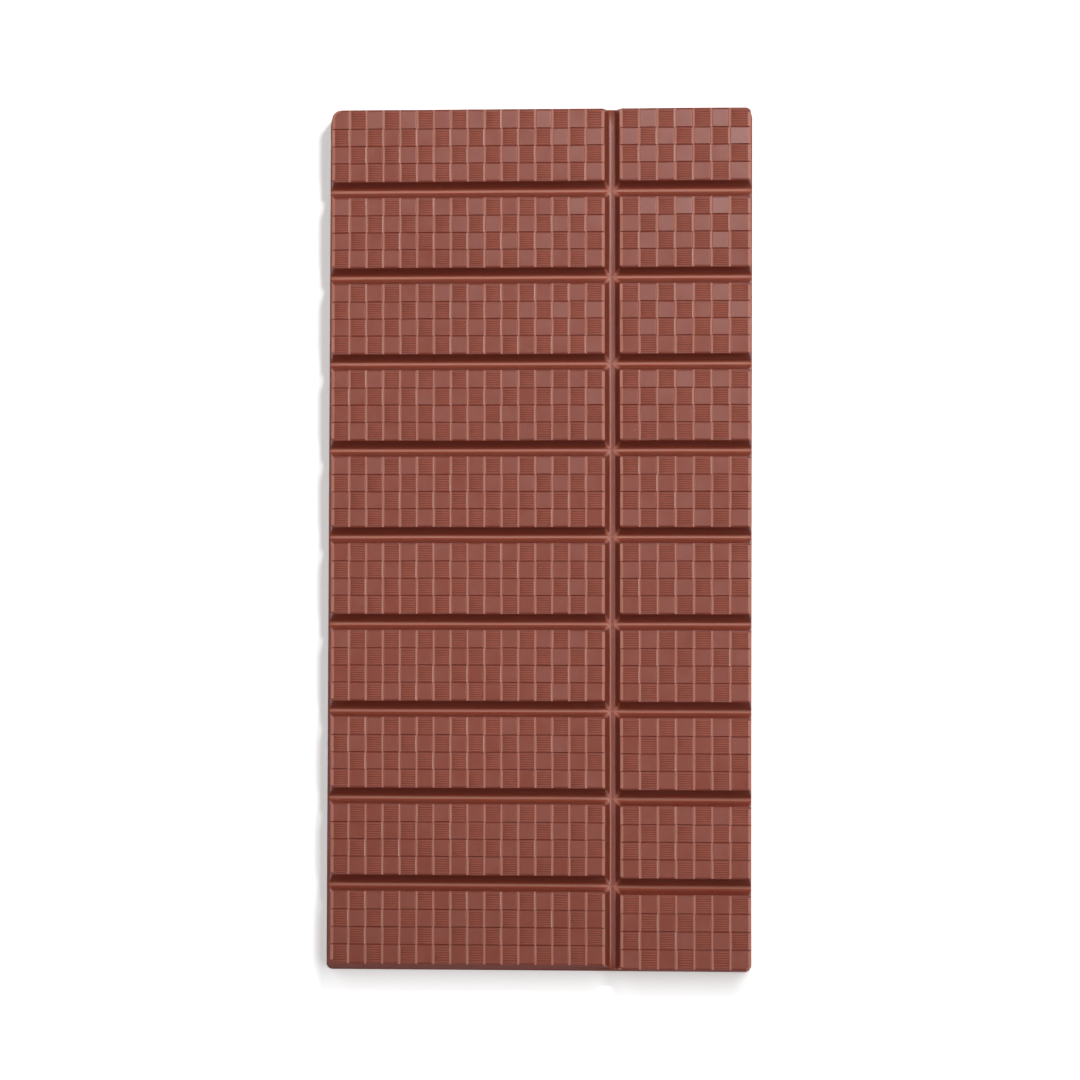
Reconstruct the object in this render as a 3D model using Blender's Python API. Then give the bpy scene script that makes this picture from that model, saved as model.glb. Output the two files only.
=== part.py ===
"""A moulded chocolate bar lying on its flat back.

Ten rows of one long and one short block stand on a common base, with a channel between any
two neighbours. Small squares cover each block: every second one is raised, the others are
left at the level of the block's rim. X runs across the bar, Y along it, and Z is up.
"""

import math

import bmesh
import bpy

# Driving dimensions, in metres.
BAR_WIDTH = 0.0770
BAR_LENGTH = 0.1568
BAR_THICKNESS = 0.0070
SIDE_LEAN = 0.00033

BLOCK_ROWS = 10
LONG_BLOCK_WIDTH = 0.0497
ROW_CHANNEL_WIDTH = 0.0029
CENTRE_CHANNEL_WIDTH = 0.0027
CHANNEL_DEPTH = 0.0028

LONG_BLOCK_COLUMNS = 16
SHORT_BLOCK_COLUMNS = 7
SQUARE_ROWS = 4
SQUARE_RELIEF = 0.0002
SQUARE_BEVEL = 0.0002

# How much wider the outermost squares of a block are than the others.
LONG_BLOCK_OUTER_EXTRA = -0.00017
LONG_BLOCK_INNER_EXTRA = 0.00033
SHORT_BLOCK_EXTRA = 0.0004
ROW_EXTRA = 0.0002

# Radii seen from above. The bar's own corners are keyed by their side in X and in Y.
BLOCK_CORNER_RADIUS = 0.0005
CHANNEL_MOUTH_RADIUS = 0.0004
BAR_CORNER_RADIUS = {(-1, 1): 0.0017, (1, 1): 0.00095, (-1, -1): 0.00075, (1, -1): 0.00093}
SMALLEST_RADIUS = 0.00004
CORNER_STEPS = 2

# A channel's wall from a block's rim to the middle of the floor, as shares of the channel's
# half width and of its depth below the rim.
CHANNEL_PROFILE = ((0.0, 0.0), (0.57, 0.84), (0.80, 0.97), (1.0, 1.0))

RIM_HEIGHT = BAR_THICKNESS - SQUARE_RELIEF
RIM_TO_FLOOR = CHANNEL_DEPTH - SQUARE_RELIEF
LAST_LEVEL = len(CHANNEL_PROFILE) - 1
WELD_GRID = 1e-7

CHOCOLATE_COLOUR = (0.262, 0.092, 0.062, 1.0)
CHOCOLATE_ROUGHNESS = 0.4


def clear_scene():
    for old in list(bpy.data.objects):
        bpy.data.objects.remove(old)


class Surface:
    """A mesh in the making, in which points at the same place are one vertex."""

    def __init__(self):
        self.mesh = bmesh.new()
        self.known = {}

    def vertex(self, point):
        key = tuple(round(value / WELD_GRID) for value in point)
        if key not in self.known:
            self.known[key] = self.mesh.verts.new(point)
        return self.known[key]

    def face(self, points):
        """Adds one face, leaving out points that fall together."""
        corners = []
        for point in points:
            vertex = self.vertex(point)
            if vertex not in corners:
                corners.append(vertex)
        if len(corners) > 2:
            self.mesh.faces.new(corners)

    def band(self, lower, upper):
        """Joins two chains of equally many points with a strip of quads."""
        for i in range(len(lower) - 1):
            self.face((lower[i], lower[i + 1], upper[i + 1], upper[i]))


def level_height(level):
    return RIM_HEIGHT - CHANNEL_PROFILE[level][1] * RIM_TO_FLOOR


def lean_at(height):
    """How far the outer wall stands out at this height, from where it is at the rim."""
    return SIDE_LEAN * (RIM_HEIGHT - height) / RIM_HEIGHT


def square_lines(start, end, count, first_extra, last_extra):
    """The edges of a row of squares that fills a block from start to end."""
    pitch = (end - start - first_extra - last_extra) / count
    inner = [start + first_extra + pitch * i for i in range(1, count)]
    return [start, *inner, end]


def arc(corner, turn, radius):
    """Points of a rounded corner, counterclockwise. turn says which corner of the outline."""
    away = ((1, 1), (-1, 1), (-1, -1), (1, -1))[turn]
    centre_x = corner[0] + away[0] * radius
    centre_y = corner[1] + away[1] * radius
    points = []
    for step in range(CORNER_STEPS + 1):
        angle = math.pi * (1 + 0.5 * (turn + step / CORNER_STEPS))
        points.append((centre_x + radius * math.cos(angle), centre_y + radius * math.sin(angle)))
    return points


def outline(box, radii):
    """Four chains of plan points, one for each corner of a box, starting at its low X and Y."""
    x0, x1, y0, y1 = box
    chains = []
    for turn, corner in enumerate(((x0, y0), (x1, y0), (x1, y1), (x0, y1))):
        chains.append(arc(corner, turn, radii[turn]) if radii[turn] else [corner])
    return chains


def at_height(chain, height):
    return [(x, y, height) for x, y in chain]


class Block:
    """One block: its rim, which of its sides are the bar's own, and its squares."""

    def __init__(self, box, outer, columns, extras, raised_first):
        self.box = box
        self.outer = outer
        self.raised_first = raised_first
        self.x_lines = square_lines(box[0], box[1], columns, *extras)
        self.y_lines = square_lines(box[2], box[3], SQUARE_ROWS, ROW_EXTRA, ROW_EXTRA)

    def side_offset(self, side, level):
        if self.outer[side]:
            return lean_at(level_height(level))
        width = CENTRE_CHANNEL_WIDTH if side in (0, 1) else ROW_CHANNEL_WIDTH
        return CHANNEL_PROFILE[level][0] * width / 2

    def corner_radius(self, turn, level):
        side_x = 0 if turn in (0, 3) else 1
        side_y = 2 if turn in (0, 1) else 3
        outer_sides = self.outer[side_x] + self.outer[side_y]
        if outer_sides == 2:
            return BAR_CORNER_RADIUS[(1 if side_x else -1, 1 if side_y == 3 else -1)]
        if level == LAST_LEVEL:
            return 0.0
        if outer_sides == 1:
            return CHANNEL_MOUTH_RADIUS
        return BLOCK_CORNER_RADIUS + CHANNEL_PROFILE[level][0] * CENTRE_CHANNEL_WIDTH / 2

    def loop(self, level):
        """The block's outline at one level of the channel wall, as four corner chains."""
        x0, x1, y0, y1 = self.box
        west, east, south, north = [self.side_offset(side, level) for side in range(4)]
        box = (x0 - west, x1 + east, y0 - south, y1 + north)
        radii = [self.corner_radius(turn, level) for turn in range(4)]
        chains = outline(box, radii)
        return [at_height(chain, level_height(level)) for chain in chains]

    def rim_points(self, turn):
        """The ends of the lines between squares on the side that follows this corner."""
        x0, x1, y0, y1 = self.box
        sides = (
            [(x, y0) for x in self.x_lines[1:-1]],
            [(x1, y) for y in self.y_lines[1:-1]],
            [(x, y1) for x in reversed(self.x_lines[1:-1])],
            [(x0, y) for y in reversed(self.y_lines[1:-1])],
        )
        return at_height(sides[turn], RIM_HEIGHT)

    def add_walls(self, surface):
        loops = [self.loop(level) for level in range(LAST_LEVEL + 1)]
        for level in range(LAST_LEVEL):
            upper = loops[level]
            lower = loops[level + 1]
            for turn in range(4):
                after = (turn + 1) % 4
                above = upper[turn]
                below = lower[turn]
                if len(below) < len(above):
                    below = below * len(above)
                surface.band(below, above)
                rim = self.rim_points(turn) if level == 0 else []
                across = [lower[turn][-1], lower[after][0], upper[after][0]]
                surface.face([*across, *reversed(rim), upper[turn][-1]])

    def add_squares(self, surface):
        last_column = len(self.x_lines) - 2
        last_row = SQUARE_ROWS - 1
        corner_cells = ((0, 0), (last_column, 0), (last_column, last_row), (0, last_row))
        for row in range(SQUARE_ROWS):
            rows_from_top = last_row - row
            for column in range(last_column + 1):
                box = (*self.x_lines[column:column + 2], *self.y_lines[row:row + 2])
                radii = [0.0] * 4
                if (column, row) in corner_cells:
                    turn = corner_cells.index((column, row))
                    radii[turn] = self.corner_radius(turn, 0)
                raised = ((rows_from_top + column) % 2 == 0) == self.raised_first
                add_square(surface, box, radii, raised)


def add_square(surface, box, radii, raised):
    base = [point for chain in outline(box, radii) for point in chain]
    if not raised:
        surface.face(at_height(base, RIM_HEIGHT))
        return
    x0, x1, y0, y1 = box
    smaller = (x0 + SQUARE_BEVEL, x1 - SQUARE_BEVEL, y0 + SQUARE_BEVEL, y1 - SQUARE_BEVEL)
    tighter = [max(radius - SQUARE_BEVEL, SMALLEST_RADIUS) if radius else 0.0 for radius in radii]
    top = at_height([point for chain in outline(smaller, tighter) for point in chain], BAR_THICKNESS)
    base = at_height(base, RIM_HEIGHT)
    surface.band([*base, base[0]], [*top, top[0]])
    surface.face(top)


def make_blocks():
    """All blocks, from the row at low Y to the row at high Y, in rows of two."""
    rim_x = BAR_WIDTH / 2 - SIDE_LEAN
    rim_y = BAR_LENGTH / 2 - SIDE_LEAN
    row_pitch = (2 * rim_y + ROW_CHANNEL_WIDTH) / BLOCK_ROWS
    block_length = row_pitch - ROW_CHANNEL_WIDTH
    long_end = -rim_x + LONG_BLOCK_WIDTH
    short_start = long_end + CENTRE_CHANNEL_WIDTH
    blocks = []
    for row in range(BLOCK_ROWS):
        y0 = -rim_y + row * row_pitch
        y1 = y0 + block_length
        ends = (row == 0, row == BLOCK_ROWS - 1)
        long_extras = (LONG_BLOCK_OUTER_EXTRA, LONG_BLOCK_INNER_EXTRA)
        short_extras = (SHORT_BLOCK_EXTRA, SHORT_BLOCK_EXTRA)
        long_box = (-rim_x, long_end, y0, y1)
        short_box = (short_start, rim_x, y0, y1)
        blocks.append(Block(long_box, (True, False, *ends), LONG_BLOCK_COLUMNS, long_extras, True))
        blocks.append(Block(short_box, (False, True, *ends), SHORT_BLOCK_COLUMNS, short_extras, False))
    return blocks


def foot_outline():
    """The four rounded corners of the flat back."""
    box = (-BAR_WIDTH / 2, BAR_WIDTH / 2, -BAR_LENGTH / 2, BAR_LENGTH / 2)
    radii = [BAR_CORNER_RADIUS[side] for side in ((-1, -1), (1, -1), (1, 1), (-1, 1))]
    return [at_height(chain, 0.0) for chain in outline(box, radii)]


def add_base(surface, blocks):
    """The outer walls below the channel floors, and the flat back."""
    longs = blocks[0::2]
    shorts = blocks[1::2]
    floor = [block.loop(LAST_LEVEL) for block in blocks]
    corner_blocks = (0, 1, len(blocks) - 1, len(blocks) - 2)
    walks = (
        [longs[0], shorts[0]],
        shorts,
        [shorts[-1], longs[-1]],
        list(reversed(longs)),
    )
    foot = foot_outline()
    for turn, walk in enumerate(walks):
        after = (turn + 1) % 4
        top = []
        for block in walk:
            chains = floor[blocks.index(block)]
            top.extend((chains[turn][-1], chains[after][0]))
        surface.face([foot[turn][-1], foot[after][0], *reversed(top)])
        surface.band(foot[turn], floor[corner_blocks[turn]][turn])
    surface.face([point for chain in reversed(foot) for point in reversed(chain)])


def chocolate():
    material = bpy.data.materials.new("milk_chocolate")
    material.use_nodes = True
    shader = material.node_tree.nodes["Principled BSDF"]
    shader.inputs["Base Color"].default_value = CHOCOLATE_COLOUR
    shader.inputs["Roughness"].default_value = CHOCOLATE_ROUGHNESS
    shader.inputs["Metallic"].default_value = 0.0
    return material


def make_bar():
    surface = Surface()
    blocks = make_blocks()
    for block in blocks:
        block.add_squares(surface)
        block.add_walls(surface)
    add_base(surface, blocks)
    data = bpy.data.meshes.new("chocolate_bar")
    surface.mesh.to_mesh(data)
    surface.mesh.free()
    data.materials.append(chocolate())
    bar = bpy.data.objects.new("chocolate_bar", data)
    bpy.context.scene.collection.objects.link(bar)
    return bar


clear_scene()
make_bar()
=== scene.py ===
"""Chocolate Bar Studio: the looks of a moulded milk chocolate bar.

The bar lies on its flat back. X runs across it, Y along it, and Z is up. Ten rows of one long
and one short block stand on a common base. The bar itself is one closed surface, made block by
block: squares, channel walls, floors, outer walls and back. A Geometry Nodes tree lays the fine
ribs on every second square.
"""

import math
import random

import bmesh
import bpy
from bpy.props import FloatProperty, FloatVectorProperty, IntProperty, PointerProperty
from mathutils import Matrix, Vector, noise


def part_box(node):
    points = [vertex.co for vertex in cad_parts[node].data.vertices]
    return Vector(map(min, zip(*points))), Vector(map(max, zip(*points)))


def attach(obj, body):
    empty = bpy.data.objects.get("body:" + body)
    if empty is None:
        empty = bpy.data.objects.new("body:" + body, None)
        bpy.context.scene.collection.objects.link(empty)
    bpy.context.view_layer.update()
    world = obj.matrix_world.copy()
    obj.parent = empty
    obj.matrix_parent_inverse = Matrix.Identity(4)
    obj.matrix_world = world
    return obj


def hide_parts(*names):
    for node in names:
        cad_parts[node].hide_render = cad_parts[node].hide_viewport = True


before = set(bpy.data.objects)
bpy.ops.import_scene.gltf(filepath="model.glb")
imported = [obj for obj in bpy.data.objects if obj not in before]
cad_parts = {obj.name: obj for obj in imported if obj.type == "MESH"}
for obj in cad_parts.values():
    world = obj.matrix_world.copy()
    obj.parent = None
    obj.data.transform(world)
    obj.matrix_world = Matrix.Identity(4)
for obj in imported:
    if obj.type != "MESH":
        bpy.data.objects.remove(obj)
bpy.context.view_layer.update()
BAR_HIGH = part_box("chocolate_bar")[1]
BAR_THICKNESS = BAR_HIGH.z

bl_info = {
    "name": "Chocolate Bar Studio",
    "version": (1, 0, 0),
    "blender": (4, 5, 0),
    "location": "3D View > Sidebar > Chocolate",
    "description": "Builds a moulded chocolate bar with smooth and ribbed squares, and its stage",
    "category": "Object",
}

# Points closer than this are one vertex.
WELD_GRID = 1e-7
# Attributes of the bar's mesh: 1 on the outer walls and the back, and each face's painted light and
# shade.
WALL_MASK = "outer_wall"
PAINTED_LIGHT_MASK = "tone"
# The sides of a box, counterclockwise, and the side in X and Y of the corner before each.
SOUTH, EAST, NORTH, WEST = range(4)
CORNER_SIDES = ((-1, -1), (1, -1), (1, 1), (-1, 1))


def whole_number(name, default, description):
    return IntProperty(name=name, description=description, default=default)


def length(name, default, description):
    return FloatProperty(
        name=name, description=description, default=default, unit="LENGTH", precision=5
    )


def share(name, default, description):
    return FloatProperty(name=name, description=description, default=default, precision=3)


def colour(name, default, description):
    return FloatVectorProperty(
        name=name, description=description, default=default, subtype="COLOR", size=3, min=0, max=1
    )


# ---- Settings ----


class BarSizes(bpy.types.PropertyGroup):
    """Sizes of the moulded bar"""

    block_rows: whole_number("Block Rows", 10, "Rows of one long and one short block")
    long_block_columns: whole_number("Long Block Columns", 16, "Squares across a long block")
    short_block_columns: whole_number("Short Block Columns", 7, "Squares across a short block")
    square_rows: whole_number("Square Rows", 4, "Rows of squares on one block")
    side_lean: length("Side Lean", 0.00033, "How far the outer walls lean in up to the rim")
    long_block_width: length("Long Block Width", 0.04983, "Width of a long block at its rim")
    row_channel: length("Row Channel", 0.0029, "Width of the channels across the bar")
    centre_channel: length("Centre Channel", 0.00274, "Width of the channel along the bar")
    channel_depth: length("Channel Depth", 0.0028, "Depth of the channels below the squares")
    relief: length("Square Relief", 0.0002, "Depth of the grooves between the squares")
    bevel: length("Square Bevel", 0.00013, "Width of a square's crisp bevelled edges")
    east_bevel: length("East Bevel", 0.00036, "Width of the soft bevelled edge at a square's right")
    rim_bevel: length("Rim Bevel", 0.0003, "Width of the bevelled edge at a near or far rim")
    side_rim_bevel: length("Side Rim Bevel", 0.0005, "Width of the bevelled edge at a side rim")
    outer_extra: length("Outer Extra", 0.00028, "Extra width of a long block's outermost squares")
    inner_extra: length("Inner Extra", 0.00026, "Extra width of a long block's inner squares")
    short_extra: length("Short Extra", 0.00039, "Extra width of a short block's end squares")
    block_dome: length("Block Dome", 0.00005, "How far a block's top falls at the row channels")
    row_extra: length("Row Extra", 0.0002, "Extra length of the squares at a channel")
    end_row_extra: length("End Row Extra", 0.00035, "Extra length of the two end rows of blocks")
    end_growth: length("End Growth", 0.00056, "How far the bar's ends stand beyond the plain part")
    block_corner: length("Block Corner", 0.00035, "Radius of a block's corners at the rim")
    foot_corner: length("Foot Corner", 0.00085, "Radius of a block's corners at the wall's foot")
    mouth_corner: length("Mouth Corner", 0.0004, "Radius of a block's corners at the outer wall")
    foot_edge: length("Foot Edge", 0.00025, "Radius of the edge around the flat back")
    waviness: length("Waviness", 0.00004, "How far the surface wanders from the mould's shape")
    square_tilt: length("Square Tilt", 0.000018, "How far a square's edges rise or sink")
    row_fan: length("Row Fan", 0.0003, "How far the end rows lean away at the short blocks")
    side_skew: length("Side Skew", 0.0003, "How far the right side stands out at the far end")
    near_slip: length("Near Slip", 0.0007, "How far the last short block slips outwards")
    foot_spread: length("Foot Spread", 0.0005, "How far the left foot spreads at the near end")


class RibSizes(bpy.types.PropertyGroup):
    """Sizes of the fine ribs on every second square"""

    per_square: whole_number("Ribs per Square", 7, "Ribs on one square")
    height: length("Rib Height", 0.00006, "Height of a rib above its square")
    tip: share("Rib Tip", 0.05, "Length of a rib's sloping tip, as a share of the rib")
    unevenness: share("Unevenness", 0.12, "How much the ribs differ in height")
    seat: share("Seat", 0.6, "Height of a ribbed square, as a share of a smooth one's relief")


class ChocolateLook(bpy.types.PropertyGroup):
    """Colour and finish of the chocolate"""

    body: colour("Chocolate", (0.242, 0.0515, 0.0275), "Colour of the chocolate")
    # The ribs' colour is a lighter copy of the body's: painted light that makes up for the shading
    # of the ribbed squares.
    rib: colour("Ribs", (0.286, 0.0605, 0.032), "Colour of the ribs")
    deep: colour("Deep Tone", (0.215, 0.043, 0.0215), "Darker tone of the mottling")
    pale: colour("Pale Fleck", (0.42, 0.19, 0.14), "Colour of the tiny flecks")
    # Painted highlight: the pale colour of the squares' edges along the bar stands in for the
    # glints of the side lights.
    edge: colour("Painted Edge Highlight", (0.375, 0.135, 0.092), "Colour of the squares' edges")
    # Painted shade: the colour mixed in between the ribs, in the grooves across the bar, on the
    # channel walls and on the outer walls.
    shade: colour("Shade", (0.14, 0.014, 0.005), "Colour between the ribs and low on the walls")
    gloss: share("Gloss", 0.28, "Roughness of the smoothest places")
    dull: share("Dull", 0.37, "Roughness of the dullest places")
    rib_roughness: share("Rib Roughness", 0.68, "Roughness of the ribs")
    shine: share("Shine", 0.33, "Strength of the fatty shine on the moulded faces")


class StageLook(bpy.types.PropertyGroup):
    """Camera, light and floor"""

    camera_tilt: FloatProperty(
        name="Camera Tilt",
        description="How far the camera leans from straight above, towards the bar's near end",
        default=math.radians(7.5),
        subtype="ANGLE",
    )
    camera_distance: length("Camera Distance", 2.3, "From the bar's middle to the camera")
    view_width: length("View Width", 0.1969, "Width of the view at the bar")
    aim_x: length("Aim X", -0.00016, "Where the camera looks, across the bar")
    aim_y: length("Aim Y", -0.00046, "Where the camera looks, along the bar")
    floor: colour("Floor", (0.92, 0.92, 0.92), "Colour of the floor")
    floor_glow: share("Floor Glow", 0.32, "Light that the floor gives off itself")
    key_power: share("Key Light", 25.2, "Power of the long soft light at the right, in watts")
    fill_power: share("Fill Light", 11.0, "Power of the long soft light at the left, in watts")
    lamp_power: share("Lamp", 5.3, "Power of the lamp above the far right corner, in watts")
    sky: share("Sky", 0.06, "Brightness of the surroundings")


# ---- The bar's surface ----

# A square's edge from the bottom of the groove to its flat top: the share of relief, then the
# shares of bevel on a crisp edge, a soft edge and a rim.
EDGE_PROFILE = (
    (0.0, 0.0, 0.0, 0.0),
    (0.02, 0.05, 0.06, 0.01),
    (0.25, 0.25, 0.62, 0.06),
    (0.45, 0.4, 0.7, 0.12),
    (0.80, 0.72, 0.84, 0.75),
    (0.95, 0.9, 0.94, 0.92),
    (1.0, 1.05, 1.05, 1.1),
    (1.0, 1.25, 1.15, 1.2),
)
CRISP, SOFT, RIM = range(1, 4)
# The steps of that profile that carry the painted highlight on the edges along the bar.
HIGHLIGHT_STEPS = {CRISP: range(0, 7), SOFT: range(0, 3), RIM: range(0, 6)}
# Up to this share of relief, the edges of smooth and ribbed squares are alike.
EDGE_FOOT = 0.25
# Half of a square's width, over which it tilts, and the seed of the tilts.
HALF_SQUARE = 0.0015
SQUARE_SEED = 5

# Painted light and shade of the faces: 1 is the painted highlight colour on the squares' edges, 0
# the body's own and -1 the painted shade.
PAINTED_EDGE_HIGHLIGHT = 1.0
PAINTED_GROOVE_SHADE = -0.6
PAINTED_SEAT_SHADE = -0.8
PAINTED_WALL_SHADE = -0.4
PAINTED_OUTER_SHADE = -0.9
# Painted highlights in the middle of a row channel's floor, and on the blocks' corners from this
# level of the wall down.
PAINTED_FLOOR_HIGHLIGHT = 0.9
HIGHLIGHT_FLOOR_STEPS = 4
PAINTED_CORNER_HIGHLIGHT = 0.75
HIGHLIGHT_CORNER_LEVEL = 2

# Where a channel's wall turns into its floor: shares of its half width and depth. The centre
# channel's floor is wider.
CHANNEL_FOOT = (0.62, 0.88)
CENTRE_FOOT_WIDTH = 0.48
# Shares of the wall, from the rim down, at which it has a line of points.
WALL_STEPS = (0.1, 0.35, 0.7, 1.0)
FLOOR_STEPS = 10
# How the floors rise from their middle. A higher power makes a flatter floor.
FLOOR_POWER = 2.4
CENTRE_FLOOR_POWER = 5.0
# How a block's corner radius shrinks over the floor.
FLOOR_CORNER_POWER = 0.6
CORNER_STEPS = 4
SMALLEST_RADIUS = 0.00004
# Radii of the bar's own corners, by their sides in X and Y.
BAR_CORNER_RADIUS = {(-1, 1): 0.0017, (1, 1): 0.00095, (-1, -1): 0.00075, (1, -1): 0.00093}
# Shares of the floor's height at which the outer wall below it has a line of points.
OUTER_WALL_STEPS = (1.0, 0.72, 0.44, 0.2, 0.1)
FOOT_EDGE_STEPS = 3

# The bar's waviness: long waves and, at a share of their height, short ripples. Less of both
# goes up and down.
WAVE_SEED = 2
WAVE_LENGTH = 0.011
RIPPLE_LENGTH = 0.003
RIPPLE_SHARE = 0.35
UPRIGHT_SHARE = 0.5
# Powers with which the uneven sides fade out across the bar, and the slip fades out along it.
SIDE_POWER = 6
SLIP_POWER = 2


def channel_profile():
    """Half a channel, from a block's rim to the middle of the floor.

    Each point has the shares of width in a row channel and in the centre channel, whose floor
    is flatter, and the share of depth.
    """
    foot_width, foot_depth = CHANNEL_FOOT
    flatness = FLOOR_POWER / CENTRE_FLOOR_POWER
    points = [(0.0, 0.0, 0.0)]
    for step in WALL_STEPS:
        points.append((foot_width * step, CENTRE_FOOT_WIDTH * step, foot_depth * step))
    for step in range(1, FLOOR_STEPS + 1):
        off_centre = 1 - step / FLOOR_STEPS
        width = 1 - (1 - foot_width) * off_centre
        flat_width = 1 - (1 - CENTRE_FOOT_WIDTH) * off_centre**flatness
        depth = 1 - (1 - foot_depth) * off_centre**FLOOR_POWER
        points.append((width, flat_width, depth))
    return points


class Surface:
    """A mesh in the making, in which points at the same place are one vertex."""

    def __init__(self):
        self.mesh = bmesh.new()
        self.tone = self.mesh.faces.layers.float.new(PAINTED_LIGHT_MASK)
        self.known = {}

    def vertex(self, point):
        key = tuple(round(value / WELD_GRID) for value in point)
        if key not in self.known:
            self.known[key] = self.mesh.verts.new(point)
        return self.known[key]

    def face(self, points, tone=0.0):
        """Adds one face, leaving out points that fall together."""
        corners = []
        for point in points:
            vertex = self.vertex(point)
            if vertex not in corners:
                corners.append(vertex)
        if len(corners) > 2:
            self.mesh.faces.new(corners)[self.tone] = tone

    def band(self, outer, inner, painted_lights):
        """Joins two chains of equally many points with a strip of quads."""
        for i in range(len(outer) - 1):
            self.face((outer[i], outer[i + 1], inner[i + 1], inner[i]), painted_lights[i])

    def crease(self, start, end):
        """Makes the edge between two points crisp in the shading."""
        edge = self.mesh.edges.get((self.vertex(start), self.vertex(end)))
        edge.smooth = False

    def settle(self, mould):
        """Marks the outer walls, and moves all points from the mould's shape to the real bar's."""
        noise.seed_set(WAVE_SEED)
        mask = self.mesh.verts.layers.float.new(WALL_MASK)
        for vertex in self.mesh.verts:
            vertex[mask] = float(mould.on_outer_wall(vertex.co))
            vertex.co = settle(vertex.co, mould)


def square_lines(start, end, count, first_extra, last_extra):
    """The edges of a row of squares that fills a block from start to end."""
    pitch = (end - start - first_extra - last_extra) / count
    inner = [start + first_extra + pitch * i for i in range(1, count)]
    return [start, *inner, end]


def arc(corner, turn, radius):
    """Points of a rounded corner, counterclockwise, from the side before it to the side after."""
    side_x, side_y = CORNER_SIDES[turn]
    centre_x = corner[0] - side_x * radius
    centre_y = corner[1] - side_y * radius
    points = []
    for step in range(CORNER_STEPS + 1):
        angle = math.pi * (1 + 0.5 * (turn + step / CORNER_STEPS))
        points.append((centre_x + radius * math.cos(angle), centre_y + radius * math.sin(angle)))
    return points


def box_corners(box):
    x0, x1, y0, y1 = box
    return (x0, y0), (x1, y0), (x1, y1), (x0, y1)


def rounded_outline(box, radii, across, along, height):
    """A box's closed outline, with rounded corners and a point on each line across or along."""
    x0, x1, y0, y1 = box
    sides = (
        [(x, y0) for x in across],
        [(x1, y) for y in along],
        [(x, y1) for x in reversed(across)],
        [(x0, y) for y in reversed(along)],
    )
    points = []
    for turn, corner in enumerate(box_corners(box)):
        points.extend(arc(corner, turn, radii[turn]))
        points.extend(sides[turn])
    return [(x, y, height) for x, y in (*points, points[0])]


class Mould:
    """The mould's measures, worked out from the settings."""

    def __init__(self, sizes):
        self.sizes = sizes
        self.rim = BAR_THICKNESS - sizes.relief
        self.floor = BAR_THICKNESS - sizes.channel_depth
        self.profile = channel_profile()
        self.last_level = len(self.profile) - 1
        self.rim_x = BAR_HIGH.x - sizes.side_lean
        self.rim_y = BAR_HIGH.y - sizes.side_lean + sizes.end_growth
        rows = sizes.block_rows
        end_extra = sizes.end_row_extra
        row_pitch = (2 * (self.rim_y - end_extra) + sizes.row_channel) / rows
        first_start = -self.rim_y + end_extra
        starts = [first_start + row * row_pitch for row in range(1, rows)]
        self.row_starts = [-self.rim_y, *starts]
        self.row_ends = [start - sizes.row_channel for start in starts] + [self.rim_y]
        self.long_end = -self.rim_x + sizes.long_block_width
        self.short_start = self.long_end + sizes.centre_channel

    def level_height(self, level):
        return self.rim - self.profile[level][2] * (self.rim - self.floor)

    def lean(self, height):
        """How far the outer wall stands out at this height, from where it is at the rim."""
        return self.sizes.side_lean * (self.rim - height) / self.rim

    def on_outer_wall(self, point):
        """Whether a point is on the outer wall or the back, which are dull."""
        radius = BAR_CORNER_RADIUS[(1 if point.x > 0 else -1, 1 if point.y > 0 else -1)]
        past_x = max(abs(point.x) - self.rim_x + radius, 0.0)
        past_y = max(abs(point.y) - self.rim_y + radius, 0.0)
        beside = math.hypot(past_x, past_y) > radius + WELD_GRID
        return beside or point.z < self.floor - WELD_GRID

    def blocks(self):
        """All blocks, from the row at low Y to the row at high Y, in rows of two."""
        sizes = self.sizes
        long_extras = (sizes.outer_extra, sizes.inner_extra)
        short_extras = (sizes.short_extra, sizes.short_extra)
        made = []
        for row, (y0, y1) in enumerate(zip(self.row_starts, self.row_ends)):
            first = row == 0
            last = row == sizes.block_rows - 1
            long_box = (-self.rim_x, self.long_end, y0, y1)
            short_box = (self.short_start, self.rim_x, y0, y1)
            long_outer = (first, False, last, True)
            short_outer = (first, True, last, False)
            columns = sizes.long_block_columns
            made.append(Block(self, long_box, long_outer, columns, long_extras, True))
            columns = sizes.short_block_columns
            made.append(Block(self, short_box, short_outer, columns, short_extras, False))
        return made


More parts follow.
